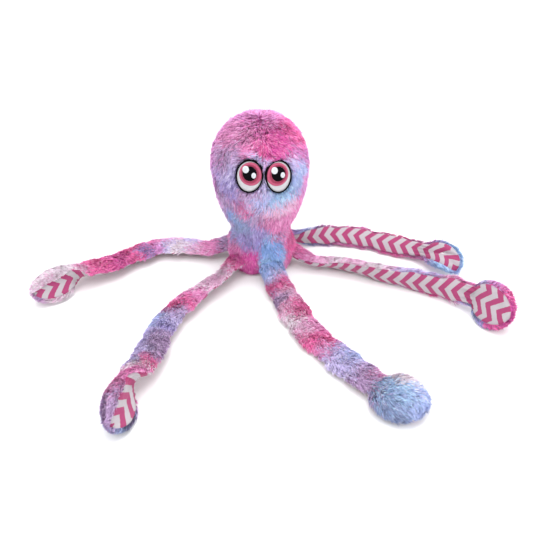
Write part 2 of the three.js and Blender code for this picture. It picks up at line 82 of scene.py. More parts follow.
# One row for each leg. root: azimuth where it leaves the body. root_width, width, neck, paddle: half
# widths with the pile. fur_height: the paddle's fur side. plump: added to the fur's height along the leg.
# fold: bend of the paddle's section. wraps: roll of the fur over its two edges, in radians. crease: depth
# of a fold in its cotton. print: size of the zigzags. route: the middle line after the root. turns: roll
# of the section at distances.
LEG_KEYS = ("name", "root", "root_width", "width", "neck", "paddle", "fur_height", "plump", "fold", "wraps",
            "crease", "print", "route", "turns")
LEGS = [dict(zip(LEG_KEYS, row)) for row in [
    ("leg_a", 165, 13, 18.5, 15, 20, 12, 2.5, 1.0, (1.1, 0.15), 0, 1.15,
     [(-66, 9, 9), (-98, 16, 8), (-130, 17, 7), (-159, 0, 8), (-185, -25, 11.5), (-212, -44, 16),
      (-230, -60, 19.5), (-246, -74, 20), (-267, -91, 19)],
     [(0, 8), (60, 14), (200, 14), (230, 108), (300, 114)]),
    ("leg_b", 226, 14, 17.5, 16.5, 22, 14, 2.0, 0.8, (0.7, 0.05), 0, 1.25,
     [(-45, -54, 12), (-66, -78, 11), (-84, -98, 9.5), (-100, -120, 8), (-112, -148, 7.5),
      (-118, -177, 9), (-123, -205, 14), (-131, -235, 19.5), (-137, -262, 21.5), (-143, -298, 21)],
     [(0, 20), (25, 45), (60, 38), (95, 20), (226, 12), (258, 108), (300, 114)]),
    ("leg_c", 286, 14, 17, 14, 26, 22.5, 1.0, 0.0, (0.55, 0.55), 0, 1.0,
     [(17, -54, 9), (23, -76, 6), (32, -101, 5), (43, -133, 5), (57, -162, 5), (76, -188, 5),
      (96, -216, 6), (117, -242, 8), (137, -262, 10), (157, -275, 10)],
     [(0, 0), (300, 0)]),
    ("leg_d", 350, 10, 15, 13, 26, 13, 1.0, 0.2, (0.5, 0.5), 0, 1.0,
     [(62, -23, 11), (91, -30, 11), (120, -43, 13.5), (147, -58, 14.5), (175, -69, 15.5),
      (201, -82, 17), (228, -98, 20), (253, -121, 24), (274, -155, 24)],
     [(0, -15), (40, -38), (90, -55), (140, -74), (190, -92), (225, -112), (300, -118)]),
    ("leg_e", 48, 10, 13, 11, 18.5, 9, 0.0, 0.8, (0.45, 0.0), 3.5, 1.0,
     [(46, 29, 13), (65, 32, 13), (97, 35, 13), (128, 30, 13), (158, 17, 13), (187, 3, 14),
      (207, -8, 16), (220, -19, 19), (230, -31, 20), (237, -42, 18), (240, -51, 14)],
     [(0, -30), (20, -70), (45, -115), (75, -140), (210, -140), (240, -150), (300, -152)]),
]]

# ---------------------------------------------------------------- dyes
DYES = {
    "magenta": (222, 96, 176),
    "hot_pink": (234, 112, 176),
    "pink": (238, 152, 206),
    "pale_pink": (244, 194, 224),
    "blush": (248, 228, 240),
    "rose": (214, 136, 186),
    "mauve": (196, 164, 206),
    "orchid": (222, 154, 214),
    "lilac": (212, 200, 240),
    "violet": (172, 156, 214),
    "periwinkle": (184, 196, 240),
    "sky": (178, 210, 248),
    "blue": (146, 180, 232),
    "slate": (154, 166, 206),
    "dusk": (132, 122, 156),
}
DYE_NAMES = list(DYES)
# Brightness levels of each dye, which the strands take at random. The lightest is whitened, as a painted
# highlight on the strands' tips.
TONES = (0.64, 0.88, 1.10, 1.20)
TIP_HIGHLIGHT = 0.20
BRIGHTEST = 0.95


def to_linear(colour):
    c = np.array(colour, float) / 255
    return np.where(c <= 0.04045, c / 12.92, ((c + 0.055) / 1.055) ** 2.4)


def toned(name, tone):
    linear = to_linear(DYES[name]) * TONES[tone]
    # Painted highlight: the lightest level goes part way to white.
    if tone == len(TONES) - 1:
        linear = linear * (1 - TIP_HIGHLIGHT) + TIP_HIGHLIGHT
    return np.clip(linear, 0, BRIGHTEST)


def principled(tree):
    return next(n for n in tree.nodes if n.type == "BSDF_PRINCIPLED")


def plain_material(name, colour, roughness=0.8, sheen=0.0, specular=0.25):
    material = bpy.data.materials.new(name)
    material.use_nodes = True
    shader = principled(material.node_tree)
    shader.inputs["Base Color"].default_value = (*[float(c) for c in colour], 1)
    shader.inputs["Roughness"].default_value = roughness
    shader.inputs["Specular IOR Level"].default_value = specular
    shader.inputs["Sheen Weight"].default_value = sheen
    shader.inputs["Sheen Roughness"].default_value = 0.45
    return material


FUR_MATERIALS = {}
for dye_index, dye_name in enumerate(DYE_NAMES):
    for tone_index in range(len(TONES)):
        FUR_MATERIALS[dye_index, tone_index] = plain_material(
            f"fur_{dye_name}_{tone_index}", toned(dye_name, tone_index),
            roughness=0.62, sheen=0.12, specular=0.2)


# ---------------------------------------------------------------- numbers and noise
def smoothstep(x, low, high):
    t = np.clip((np.asarray(x, float) - low) / (high - low), 0, 1)
    return t * t * (3 - 2 * t)


def bell(x, width):
    return np.exp(-(x / width) ** 2)


def unit(vectors):
    length = np.linalg.norm(vectors, axis=-1, keepdims=True)
    return vectors / np.maximum(length, 1e-12)


def soft_noise(points, scale, seed, octaves=2):
    """Smooth noise of about -1 to 1 at 3-D points, as a sum of waves in random directions."""
    rng = np.random.default_rng(seed)
    value = np.zeros(points.shape[:-1])
    for octave in range(octaves):
        for _ in range(5):
            wave = unit(rng.normal(size=3)) * 2 * math.pi / (scale / 2 ** octave) * rng.uniform(0.7, 1.3)
            value += np.sin(points @ wave + rng.uniform(0, 2 * math.pi)) * 0.5 ** octave
    return value / 2.6


def noise_vectors(points, scale, seed):
    return np.stack([soft_noise(points, scale, seed + k) for k in range(3)], -1)


# ---------------------------------------------------------------- meshes
def build_mesh(name, vertices, quads, triangles, materials, quad_slots=None, triangle_slots=None, uv=None):
    """A mesh object from arrays in millimetres. uv holds a pair for each vertex."""
    mesh = bpy.data.meshes.new(name)
    quads = np.asarray(quads, np.int32).reshape(-1, 4)
    triangles = np.asarray(triangles, np.int32).reshape(-1, 3)
    mesh.vertices.add(len(vertices))
    mesh.vertices.foreach_set("co", (np.asarray(vertices) * 0.001).astype(np.float32).ravel())
    loops = np.concatenate([quads.ravel(), triangles.ravel()])
    mesh.loops.add(len(loops))
    mesh.loops.foreach_set("vertex_index", loops)
    starts = np.concatenate([np.arange(len(quads)) * 4, len(quads) * 4 + np.arange(len(triangles)) * 3])
    mesh.polygons.add(len(starts))
    mesh.polygons.foreach_set("loop_start", starts.astype(np.int32))
    slots = np.zeros(len(starts), np.int32)
    if quad_slots is not None:
        slots[:len(quads)] = quad_slots
    if triangle_slots is not None:
        slots[len(quads):] = triangle_slots
    for material in materials:
        mesh.materials.append(material)
    mesh.polygons.foreach_set("material_index", slots)
    mesh.polygons.foreach_set("use_smooth", np.ones(len(starts), bool))
    if uv is not None:
        layer = mesh.uv_layers.new(name="cloth")
        layer.data.foreach_set("uv", np.asarray(uv, np.float32)[loops].ravel())
    mesh.update(calc_edges=True)
    mesh.validate()
    piece = bpy.data.objects.new(name, mesh)
    bpy.context.scene.collection.objects.link(piece)
    return piece


def grid_quads(rows, columns, start=0):
    index = np.arange(rows * columns).reshape(rows, columns) + start
    corners = [index[:-1, :-1], index[1:, :-1], index[1:, 1:], index[:-1, 1:]]
    return np.stack([c.ravel() for c in corners], 1)


class Patch:
    """A surface given by a grid of points in millimetres, with normals that face out."""

    def __init__(self, points, outward):
        self.points = points
        rows, columns = points.shape[:2]
        along = np.gradient(points, axis=0)
        across = np.gradient(points, axis=1)
        normals = unit(np.cross(along, across))
        flip = np.sign((normals * outward).sum(-1))
        self.flipped = np.median(flip) < 0
        self.normals = -normals if self.flipped else normals
        self.along = along
        self.across = across
        self.rows, self.columns = rows, columns

    def quads(self, start=0):
        quads = grid_quads(self.rows, self.columns, start)
        return quads[:, ::-1] if self.flipped else quads

    def at(self, u, v, values):
        """Values of a grid at fractional rows u and columns v."""
        i = np.clip(u.astype(int), 0, self.rows - 2)
        j = np.clip(v.astype(int), 0, self.columns - 2)
        a, b = (u - i)[:, None], (v - j)[:, None]
        return ((values[i, j] * (1 - a) + values[i + 1, j] * a) * (1 - b)
                + (values[i, j + 1] * (1 - a) + values[i + 1, j + 1] * a) * b)

    def scatter(self, count, rng):
        """Fractional rows and columns of points spread evenly over the surface."""
        p = self.points
        diagonal = p[1:, 1:] - p[:-1, :-1]
        other = p[1:, :-1] - p[:-1, 1:]
        area = 0.5 * np.linalg.norm(np.cross(diagonal, other), axis=-1).ravel()
        cells = rng.choice(len(area), count, p=area / area.sum())
        u = cells // (self.columns - 1) + rng.random(count)
        v = cells % (self.columns - 1) + rng.random(count)
        return u, v, area.sum()


def pick_dyes(points, spots, rng):
    """One dye number for each point, chosen by how near it is to each dye spot."""
    centres = np.array([s[0] for s in spots], float)
    radii = np.array([s[1] for s in spots], float)
    dyes = np.array([DYE_NAMES.index(s[2]) for s in spots])
    distance = ((points[:, None, :] - centres[None]) ** 2).sum(-1) / radii ** 2
    weight = np.exp(-(distance - distance.min(1, keepdims=True)))
    total = np.cumsum(weight, 1)
    choice = (total < rng.random(len(points))[:, None] * total[:, -1:]).sum(1)
    return dyes[np.minimum(choice, len(spots) - 1)]


FLOOR_CLEARANCE = 0.35
FLOOR_SPREAD = 0.6
STRAND_WIDTH = 0.66
ROOT_TAPER = 0.8
LOWER_SHARE = 0.48
SWIRL = 0.20
MEAN_TONE = 1.75


def grow_fur(patch, seed, density, length, comb, dye_at, keep=None, lean=(34, 64), tuft=10, tuft_radius=2.1,
             gather=0.32, upright_at=None):
    """Tapered strands in tufts over a patch. Returns vertices, quads, triangles and their (dye, tone) pairs.
    comb(points, u, v) is the way the nap lies, and dye_at(points, u, v, rng) the dye numbers."""
    rng = np.random.default_rng(seed)
    area = patch.scatter(1, np.random.default_rng(0))[2]
    tufts = max(int(area * density / tuft), 4)
    tu, tv, _ = patch.scatter(tufts, rng)
    count = tufts * tuft
    home = np.repeat(np.arange(tufts), tuft)
    step_u = np.linalg.norm(patch.at(tu, tv, patch.along), axis=1)
    step_v = np.linalg.norm(patch.at(tu, tv, patch.across), axis=1)
    offset = rng.normal(0, tuft_radius * 0.6, (count, 2))
    u = tu[home] + offset[:, 0] / np.maximum(step_u[home], 0.2)
    v = tv[home] + offset[:, 1] / np.maximum(step_v[home], 0.2)
    inside = (u >= 0) & (u <= patch.rows - 1) & (v >= 0) & (v <= patch.columns - 1)
    u, v = np.where(inside, u, tu[home]), np.where(inside, v, tv[home])
    root = patch.at(u, v, patch.points)
    normal = unit(patch.at(u, v, patch.normals))
    if keep is not None:
        kept = keep(root)
        u, v, root, normal, home = u[kept], v[kept], root[kept], normal[kept], home[kept]
        count = len(home)
    nap = comb(root, u, v)
    nap = unit(nap - normal * (nap * normal).sum(-1, keepdims=True))
    swirl = soft_noise(root, 26, seed + 1)[:, None] * 0.38 + rng.normal(0, SWIRL, (count, 1))
    swirl = swirl + rng.normal(0, SWIRL, tufts)[home][:, None]
    sideways = np.cross(normal, nap)
    nap = unit(nap * np.cos(swirl) + sideways * np.sin(swirl))
    upright = upright_at(root) if upright_at is not None else np.zeros(count)
    first = lean[0] + rng.normal(0, 7, count)
    second = lean[1] + rng.normal(0, 8, count) + rng.normal(0, 6, tufts)[home]
    first = np.radians(first * (1 - 0.6 * upright))[:, None]
    second = np.radians(second * (1 - 0.5 * upright))[:, None]
    size = length * (1 + rng.normal(0, 0.14, count)) * (1 + rng.normal(0, 0.10, tufts)[home])
    size = (size * (1 - 0.22 * upright))[:, None]
    middle = root + (normal * np.cos(first) + nap * np.sin(first)) * size * LOWER_SHARE
    tip = middle + (normal * np.cos(second) + nap * np.sin(second)) * size * (1 - LOWER_SHARE)
    sums = np.zeros((tufts, 3))
    np.add.at(sums, home, tip)
    members = np.maximum(np.bincount(home, minlength=tufts), 1)[:, None]
    tip = tip + ((sums / members)[home] - tip) * gather
    sums[:] = 0
    np.add.at(sums, home, middle)
    middle = middle + ((sums / members)[home] - middle) * gather * 0.3
    way = unit(tip - root)
    twist = rng.normal(0, 0.5, count)[:, None]
    flat = unit(np.cross(way, normal))
    blade = unit(flat * np.cos(twist) + np.cross(way, flat) * np.sin(twist)) * STRAND_WIDTH * 0.5
    vertices = np.stack([root - blade * ROOT_TAPER, root + blade * ROOT_TAPER, middle + blade,
                         middle - blade, tip], 1)
    vertices = vertices.reshape(-1, 3)
    low = FLOOR_CLEARANCE + FLOOR_SPREAD * rng.random(len(vertices))
    vertices[:, 2] = np.maximum(vertices[:, 2], low)
    base = np.arange(count)[:, None] * 5
    quads = base + np.array([0, 1, 2, 3])
    triangles = base + np.array([3, 2, 4])
    dyes = dye_at(root, u, v, rng)
    level = MEAN_TONE + rng.normal(0, 0.7, count) + rng.normal(0, 0.5, tufts)[home]
    tone = np.clip(np.round(level), 0, 3).astype(int)
    # The lower part of each strand is one level darker than its tip: painted shade at the roots.
    root_shade_tone = np.clip(tone - 1, 0, 2)
    return vertices, quads, triangles, np.stack([dyes, root_shade_tone], 1), np.stack([dyes, tone], 1)


def fur_piece(name, patch, fur, skin_dyes):
    """The strands and the patch's knitted backing as one piece. skin_dyes holds a dye for each grid point."""
    vertices, quads, triangles, quad_pairs, triangle_pairs = fur
    skin_points = patch.points.reshape(-1, 3).copy()
    skin_points[:, 2] = np.maximum(skin_points[:, 2], FLOOR_CLEARANCE)
    skin_quads = patch.quads(len(vertices))
    dye_grid = skin_dyes.reshape(patch.rows, patch.columns)[:-1, :-1].ravel()
    skin_pairs = np.stack([dye_grid, np.ones(len(dye_grid), int)], 1)
    all_pairs = np.concatenate([quad_pairs, skin_pairs, triangle_pairs])
    codes, slots = np.unique(all_pairs[:, 0] * 10 + all_pairs[:, 1], return_inverse=True)
    materials = [FUR_MATERIALS[code // 10, code % 10] for code in codes.tolist()]
    quad_total = len(quads) + len(skin_quads)
    return build_mesh(name, np.concatenate([vertices, skin_points]), np.concatenate([quads, skin_quads]),
                      triangles, materials, slots[:quad_total], slots[quad_total:])


# ---------------------------------------------------------------- head and body
def catmull(points, per_segment):
    """A smooth line through 2-D or 3-D points."""
    p = np.array(points, float)
    ends = np.concatenate([[2 * p[0] - p[1]], p, [2 * p[-1] - p[-2]]])
    line = []
    for i in range(1, len(ends) - 2):
        a, b, c, d = ends[i - 1:i + 3]
        t = np.linspace(0, 1, per_segment, endpoint=False)[:, None]
        line.append(0.5 * (2 * b + (c - a) * t + (2 * a - 5 * b + 4 * c - d) * t ** 2
                           + (3 * b - a - 3 * c + d) * t ** 3))
    return np.concatenate(line + [p[-1:]])


CROWN_HOLE = 0.4
SEAM_DEPTH = 1.5
SEAM_WIDTH = 3.2
# Azimuth, height, half width, half height and reach of each puff. A reach below 0 makes a crease.
PUFFS = [(292, 37, 14, 17, 7.5), (226, 24, 14, 11, 3.0), (345, 30, 12, 14, 4.0), (165, 26, 12, 12, 2.5),
         (48, 26, 12, 12, 2.5), (264, 22, 3.5, 20, -4.5), (318, 26, 3.5, 16, -3.0), (240, 48, 4, 10, -1.5)]


def head_profile():
    """Radius and height of the knitted skin, from the bottom edge to the top of the head."""
    lower = catmull(OUTLINE, 8)
    angle = np.linspace(0, math.pi / 2, 30)[1:]
    upper = np.stack([HEAD_RADIUS * np.cos(angle),
                      HEAD_CENTRE + (HEAD_TOP - HEAD_CENTRE) * np.sin(angle)], 1)
    outline = np.concatenate([lower, upper])
    way = unit(np.gradient(outline, axis=0))
    normal = np.stack([way[:, 1], -way[:, 0]], 1)
    inset = PILE * smoothstep(outline[:, 1], -4, 10)[:, None]
    skin = outline - normal * inset
    skin[:, 0] = np.maximum(skin[:, 0], CROWN_HOLE)
    skin[-1, 0] = CROWN_HOLE
    length = np.concatenate([[0], np.cumsum(np.linalg.norm(np.diff(skin, axis=0), axis=1))])
    even = np.linspace(0, length[-1], 96)
    return np.stack([np.interp(even, length, skin[:, k]) for k in (0, 1)], 1)


HEAD_PROFILE = head_profile()
FRONT = -90.0 + FACE_TURN


def angle_gap(a, b):
    return (np.asarray(a) - b + 180) % 360 - 180


def head_radius(azimuth, radius, height):
    """The skin's radius with its seams drawn in, creases at the neck and the puffs over the legs."""
    lobes = 1 + 0.012 * (1 - np.cos(np.radians(4 * (azimuth - FRONT)))) - 0.008
    value = radius * lobes
    for seam in (0, 90, 180, 270):
        gap = np.radians(angle_gap(azimuth, FRONT + seam)) * radius
        value = value - SEAM_DEPTH * bell(gap, SEAM_WIDTH) * smoothstep(height, 2, 12)
    neck = bell(height - 56, 16)
    value = value + neck * 0.9 * np.sin(np.radians(11 * azimuth) + 0.05 * height)
    for centre, level, wide, tall, out in PUFFS:
        gap = np.radians(angle_gap(azimuth, centre)) * radius
        value = value + out * np.exp(-(gap / wide) ** 2 - ((height - level) / tall) ** 2)
    return value


def head_point(azimuth, radius, height):
    r = head_radius(azimuth, radius, height)
    a = np.radians(azimuth)
    return np.stack([r * np.cos(a), r * np.sin(a), height], -1)


def on_head(azimuth, height):
    """A point on the skin, for placing dye spots. Azimuth is from the face, + to its right."""
    order = np.argsort(HEAD_PROFILE[:, 1])
    radius = np.interp(height, HEAD_PROFILE[order, 1], HEAD_PROFILE[order, 0])
    a = math.radians(-90 + azimuth)
    return (radius * math.cos(a), radius * math.sin(a), height)

def read_spots(text):
    """Dye spots: rows of two places, a radius and a dye's name, with commas between them."""
    rows = [row.split() for row in text.split(",")]
    return [(float(a), float(b), float(radius), dye) for a, b, radius, dye in rows]


# Azimuth from the face, height, radius and dye.
HEAD_DYES = [(on_head(a, z), r, dye) for a, z, r, dye in read_spots("""
    0 201 15 orchid, -60 196 14 rose, 60 196 14 pink, 150 196 20 orchid, 20 188 15 magenta,
    42 184 14 magenta, 70 180 15 hot_pink, 8 180 9 hot_pink, 30 172 8 magenta, 62 168 10 orchid,
    -22 188 12 rose, -48 184 14 rose, -75 178 14 rose, -12 176 8 pink, -40 170 10 mauve, -60 158 13 mauve,
    -80 150 14 orchid, -55 140 11 violet, -38 150 8 lilac, 0 166 7 lilac, 0 150 6 lilac, 38 160 9 lilac,
    -35 132 11 violet, -62 126 13 mauve, -85 128 14 orchid, -15 128 8 mauve, 2 134 8 lilac,
    10 124 8 periwinkle, 26 126 11 sky, 44 134 11 periwinkle, 52 148 9 periwinkle, 75 152 10 orchid,
    78 135 12 pink, 72 118 11 orchid, 4 112 7 periwinkle, -14 112 7 lilac, -28 113 11 rose,
    -22 106 7 hot_pink, -50 108 10 mauve, -80 106 12 orchid, 16 106 9 pale_pink, 36 106 11 pale_pink,
    56 100 10 pink, -26 96 9 slate, -48 92 9 blue, -75 88 12 mauve, -6 96 8 mauve, 14 90 8 rose,
    36 86 10 pink, 58 78 10 pink, -20 78 9 slate, -45 70 10 slate, 0 76 8 violet, -8 62 8 violet,
    -34 54 10 violet, -62 56 10 slate, -80 50 10 violet, 16 62 7 periwinkle, 20 48 9 blue, 24 34 10 blue,
    20 22 8 sky, 40 62 9 rose, 50 48 8 pink, 66 56 10 pink, -22 30 9 magenta, -40 24 10 magenta,
    -56 34 8 rose, -10 20 7 magenta, 60 34 11 hot_pink, 78 40 10 hot_pink, 58 16 9 pink, 95 30 12 hot_pink,
    -90 28 12 rose, 110 175 20 hot_pink, 150 150 20 lilac, 180 175 18 orchid, -120 165 20 orchid,
    -150 140 20 periwinkle, 180 125 18 sky, 110 130 18 violet, 130 105 16 pink, -120 110 18 pink,
    -160 95 16 hot_pink, 160 80 16 lilac, 110 80 15 orchid, -110 75 15 periwinkle, 180 55 14 magenta,
    130 45 14 pink, -130 45 14 rose, 150 20 13 periwinkle, -150 20 13 violet, 115 20 12 pink
""")]


# ---------------------------------------------------------------- eyes: places
class EyeFrame:
    """The eye's own frame: X to the viewer's right, Y up the face, Z out of the face."""

    def __init__(self, side):
        self.side = side
        around = math.radians(FACE_TURN + side * EYE_SIDE_ANGLE)
        across = math.radians(FACE_TURN + side * EYE_OUT_ANGLE)
        height = EYE_HEIGHT - side * EYE_DROP
        rise = (height - HEAD_CENTRE) / (HEAD_TOP - HEAD_CENTRE)
        reach = HEAD_RADIUS * math.sqrt(1 - rise * rise)
        up = math.radians(EYE_UP_ANGLE)
        self.out = np.array([math.sin(across) * math.cos(up), -math.cos(across) * math.cos(up), math.sin(up)])
        self.right = np.array([math.cos(across), math.sin(across), 0])
        self.up = np.cross(self.out, self.right)
        self.centre = np.array([math.sin(around) * reach, -math.cos(around) * reach, height])

    def local(self, points):
        offset = points - self.centre
        return offset @ self.right, offset @ self.up, offset @ self.out

    def world(self, x, y, z):
        return (self.centre + x[..., None] * self.right + y[..., None] * self.up + z[..., None] * self.out)

    def outline(self, angle, inset):
        """The egg outline, its broad end down and leaning out, drawn in by inset."""
        lean = math.radians(self.side * EYE_LEAN + FACE_ROLL)
        x = (EYE_HALF_WIDTH - inset) * np.cos(angle) * (1 - EYE_EGG * np.sin(angle))
        y = (EYE_HALF_HEIGHT - inset) * np.sin(angle)
        return x * math.cos(lean) - y * math.sin(lean), x * math.sin(lean) + y * math.cos(lean)

    def share(self, x, y):
        """How far out a point is: 1 on the outline, less inside."""
        lean = math.radians(self.side * EYE_LEAN + FACE_ROLL)
        straight_x = x * math.cos(lean) + y * math.sin(lean)
        straight_y = -x * math.sin(lean) + y * math.cos(lean)
        wide = EYE_HALF_WIDTH * (1 - EYE_EGG * np.clip(straight_y / EYE_HALF_HEIGHT, -1, 1))
        return np.hypot(straight_x / wide, straight_y / EYE_HALF_HEIGHT)


EYES = {"left": EyeFrame(-1), "right": EyeFrame(1)}


def outside_eyes(points):
    kept = np.ones(len(points), bool)
    for eye in EYES.values():
        x, y, z = eye.local(points)
        kept &= (eye.share(x, y) > 0.99) | (z < -30)
    return kept


def round_the_eyes(points, nap):
    """Turns the nap so that it runs round an eye instead of over it."""
    for eye in EYES.values():
        x, y, z = eye.local(points)
        share = eye.share(x, y)
        near = (1 - smoothstep(share, 1.0, 1.45)) * (z > -30)
        away = unit(x[:, None] * eye.right + y[:, None] * eye.up)
        inward = np.minimum((nap * away).sum(-1), 0)
        nap = nap - away * (inward * near * (0.55 + 0.5 * (y < 6)))[:, None]
    return nap


def beside_the_eyes(points):
    """1 at the edge of an eye, falling to 0 a little way from it."""
    near = np.zeros(len(points))
    for eye in EYES.values():
        x, y, z = eye.local(points)
        near = np.maximum(near, (1 - smoothstep(eye.share(x, y), 1.02, 1.36)) * (z > -30))
    return near


FLAT = np.array([1, 1, 0])
HEAD_BLUR = 2.2
LEG_BLUR = 2.0


def head_comb(points, u, v):
    """The nap: down the head, and away from the front seam on the forehead."""
    down = np.array([0, 0, -1.0]) + 0 * points
    azimuth = np.degrees(np.arctan2(points[:, 1], points[:, 0]))
    side = angle_gap(azimuth, FRONT)
    seam = bell(side, 30) * smoothstep(points[:, 2], 100, 165)
    around = np.stack([-points[:, 1], points[:, 0], 0 * points[:, 0]], -1)
    lateral = unit(around) * (np.tanh(side / 6) * seam * 0.8)[:, None]
    away = unit(points * FLAT)
    outward = away * smoothstep(points[:, 2], 160, 200)[:, None]
    low = away * (1 - smoothstep(points[:, 2], 4, 24))[:, None] * 0.6
    nap = down + lateral + outward + low
    nap = nap + unit(around) * soft_noise(points, 34, 77)[:, None] * 0.55
    return round_the_eyes(points, nap)


def head_dye(points, rng):
    warp = noise_vectors(points, 30, 90) * 4
    return pick_dyes(points + warp + rng.normal(0, HEAD_BLUR, points.shape), HEAD_DYES, rng)


def hand_over(piece, body, node):
    """Ties a piece to its body and hides the CAD node that it stands for."""
    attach(piece, body)
    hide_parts(node)


DENSITY = 2.8
HEAD_STRAND = 8.6
BASE_STRAND = 5.0
GORES = [("fur_front_left", 180), ("fur_front_right", 270), ("fur_back_right", 0), ("fur_back_left", 90)]
for number, (name, start) in enumerate(GORES):
    azimuths = np.linspace(start + FACE_TURN, start + FACE_TURN + 90, 40)
    radius, height = HEAD_PROFILE[:, 0][:, None], HEAD_PROFILE[:, 1][:, None]
    points = head_point(azimuths[None, :] + 0 * radius, radius, height + 0 * azimuths[None, :])
    outward = points - np.array([0, 0, 110.0])
    gore = Patch(points, outward)
    fur = grow_fur(gore, 100 + number, DENSITY, HEAD_STRAND, head_comb,
                   lambda p, u, v, rng: head_dye(p, rng), outside_eyes, upright_at=beside_the_eyes)
    skin_rng = np.random.default_rng(number)
    piece = fur_piece(f"head_{name}", gore, fur, head_dye(points.reshape(-1, 3), skin_rng))
    hand_over(piece, "body", name)


def disc_grid(radius, height, rings, steps, lumps, seed):
    """A round panel as a grid from its middle to its edge."""
    share = np.linspace(0.02, 1, rings)[:, None]
    angle = np.linspace(0, 2 * math.pi, steps)[None, :]
    x, y = radius * share * np.cos(angle), radius * share * np.sin(angle)
    z = height + lumps * soft_noise(np.stack([x, y, 0 * x], -1), 14, seed)
    return np.stack([x, y, z], -1)


base_grid = disc_grid(radius=27.2, height=1.5, rings=14, steps=49, lumps=0.35, seed=5)
base_patch = Patch(base_grid, np.array([0, 0, -1.0]))
base_fur = grow_fur(base_patch, 140, DENSITY * 0.8, BASE_STRAND,
                    lambda p, u, v: unit(p * FLAT) + 0.3 * soft_noise(p, 20, 6)[:, None],
                    lambda p, u, v, rng: head_dye(p, rng), lean=(70, 88))
base = fur_piece("base_fur_panel", base_patch, base_fur,
                 head_dye(base_grid.reshape(-1, 3), np.random.default_rng(9)))
hand_over(base, "body", "base_panel")


# ---------------------------------------------------------------- node materials
class Nodes:
    """Adds nodes to one material's tree, linked to each other."""

    def __init__(self, material):
        self.tree = material.node_tree
        self.shader = principled(self.tree)

    def add(self, kind, **settings):
        node = self.tree.nodes.new("ShaderNode" + kind)
        for key, value in settings.items():
            setattr(node, key, value)
        return node

    def feed(self, socket, value):
        """Links a socket to another one, or sets its value. A colour is given as three numbers."""
        if isinstance(value, bpy.types.NodeSocket):
            self.tree.links.new(value, socket)
        elif socket.type == "RGBA":
            socket.default_value = (*value, 1)
        else:
            socket.default_value = value

    def math(self, operation, a, b=0.0):
        node = self.add("Math", operation=operation)
        self.feed(node.inputs[0], a)
        self.feed(node.inputs[1], b)
        return node.outputs[0]

    def mixed(self, factor, a, b):
        node = self.add("Mix", data_type="RGBA")
        for place, value in ((0, factor), (6, a), (7, b)):
            self.feed(node.inputs[place], value)
        return node.outputs[2]

    def clamped(self, value):
        node = self.add("Clamp")
        self.feed(node.inputs[0], value)
        return node.outputs[0]

    def noise(self, **settings):
        node = self.add("TexNoise")
        for name, value in settings.items():
            self.feed(node.inputs[name], value)
        return node.outputs[0]

    def cloth_map(self):
        """The cloth's map, and its two numbers apart."""
        cloth = self.add("UVMap", uv_map="cloth").outputs[0]
        split = self.add("SeparateXYZ")
        self.feed(split.inputs[0], cloth)
        return cloth, split.outputs[0], split.outputs[1]

    def tint(self, colour, shade):
        """Makes the colour, made lighter or darker by shade, the base colour."""
        node = self.add("VectorMath", operation="SCALE")
        self.feed(node.inputs[0], colour)
        self.feed(node.inputs["Scale"], shade)
        self.feed(self.shader.inputs["Base Color"], node.outputs[0])

    def bump(self, height, strength, distance):
        node = self.add("Bump")
        for name, value in (("Strength", strength), ("Distance", distance), ("Height", height)):
            self.feed(node.inputs[name], value)
        self.feed(self.shader.inputs["Normal"], node.outputs[0])


CHEVRON_PERIOD = 15.8
CHEVRON_WAVE = 27.0
CHEVRON_SLOPE = 0.8
PRINT_WOBBLE = 1.6
PRINT_SHARPNESS = 40.0
THREAD_PITCH = 0.55
CLOTH_SCALE = 100.0
ROSE_PRINT = (0.345, 0.050, 0.145)
PALE_PRINT = (0.50, 0.455, 0.49)


def cotton_material():
    """Plain weave printed with zigzags. The cloth map is millimetres along and across, over CLOTH_SCALE."""
    material = plain_material("printed_cotton", (0.6, 0.3, 0.4), roughness=0.85, sheen=0.15, specular=0.2)
    nodes = Nodes(material)
    cloth, *places = nodes.cloth_map()
    along, across = (nodes.math("MULTIPLY", place, CLOTH_SCALE) for place in places)
    wander = nodes.noise(Vector=cloth, Scale=60.0, Detail=3.0)
    wobble = nodes.math("MULTIPLY", nodes.math("SUBTRACT", wander, 0.5), PRINT_WOBBLE)
    folded = nodes.math("PINGPONG", across, CHEVRON_WAVE / 2)
    slanted = nodes.math("SUBTRACT", along, nodes.math("MULTIPLY", folded, CHEVRON_SLOPE))
    phase = nodes.math("FRACT", nodes.math("DIVIDE", nodes.math("ADD", slanted, wobble), CHEVRON_PERIOD))
    edge = nodes.math("SUBTRACT", nodes.math("ABSOLUTE", nodes.math("SUBTRACT", phase, 0.5)), 0.25)
    stripe = nodes.clamped(nodes.math("ADD", nodes.math("MULTIPLY", edge, PRINT_SHARPNESS), 0.5))
    faded = nodes.noise(Vector=cloth, Scale=14.0)
    rose = nodes.mixed(faded, ROSE_PRINT, tuple(c * 1.18 for c in ROSE_PRINT))
    pale = nodes.mixed(faded, PALE_PRINT, tuple(c * 0.9 for c in PALE_PRINT))
    warp, weft = (nodes.math("SINE", nodes.math("MULTIPLY", place, 2 * math.pi / THREAD_PITCH))
                  for place in (along, across))
    weave = nodes.math("MULTIPLY", warp, weft)
    # The weave darkens the print a little where the threads dip, as painted shade between the threads.
    nodes.tint(nodes.mixed(stripe, rose, pale), nodes.math("ADD", nodes.math("MULTIPLY", weave, 0.05), 0.95))
    nodes.bump(weave, strength=0.35, distance=0.0002)
    return material


COTTON = cotton_material()


